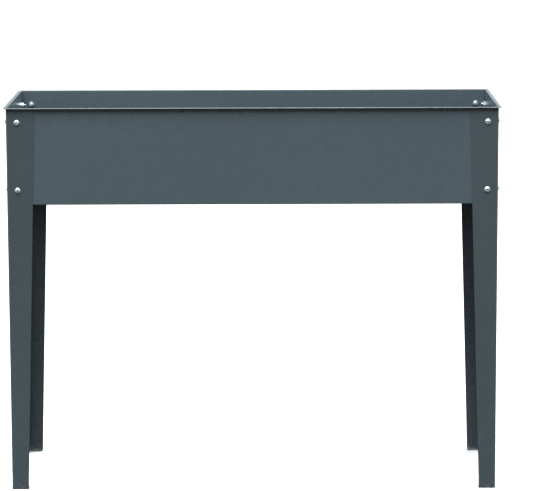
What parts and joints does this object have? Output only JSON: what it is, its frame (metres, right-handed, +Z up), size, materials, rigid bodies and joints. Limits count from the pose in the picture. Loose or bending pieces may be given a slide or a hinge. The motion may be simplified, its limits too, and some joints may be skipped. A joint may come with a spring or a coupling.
{
  "type": "raised planter on legs",
  "caption": "Long rectangular planting trough of folded sheet steel with an outward rim, raised on four tapered angle legs bolted to its corners.",
  "frame": {"origin": "on the ground, under the middle of the trough", "axes": "+X along the length to the right, +Y from the front to the back, +Z up"},
  "size_m": [1.02, 0.36, 0.8],
  "materials": {
    "powder_coat": "satin",
    "zinc_plate": "satin"
  },
  "bodies": {
    "root": {"front_panel": "powder_coat", "rear_panel": "powder_coat", "left_end_panel": "powder_coat", "right_end_panel": "powder_coat", "floor_panel": "powder_coat", "left_floor_stiffener": "powder_coat", "right_floor_stiffener": "powder_coat", "front_left_leg": "powder_coat", "front_right_leg": "powder_coat", "rear_left_leg": "powder_coat", "rear_right_leg": "powder_coat", "front_panel_left_screws": "zinc_plate", "front_panel_left_nuts": "zinc_plate", "left_end_panel_front_screws": "zinc_plate", "left_end_panel_front_nuts": "zinc_plate", "rear_panel_left_screws": "zinc_plate", "rear_panel_left_nuts": "zinc_plate", "left_end_panel_rear_screws": "zinc_plate", "left_end_panel_rear_nuts": "zinc_plate", "front_panel_right_screws": "zinc_plate", "front_panel_right_nuts": "zinc_plate", "right_end_panel_front_screws": "zinc_plate", "right_end_panel_front_nuts": "zinc_plate", "rear_panel_right_screws": "zinc_plate", "rear_panel_right_nuts": "zinc_plate", "right_end_panel_rear_screws": "zinc_plate", "right_end_panel_rear_nuts": "zinc_plate"}
  },
  "joints": []
}
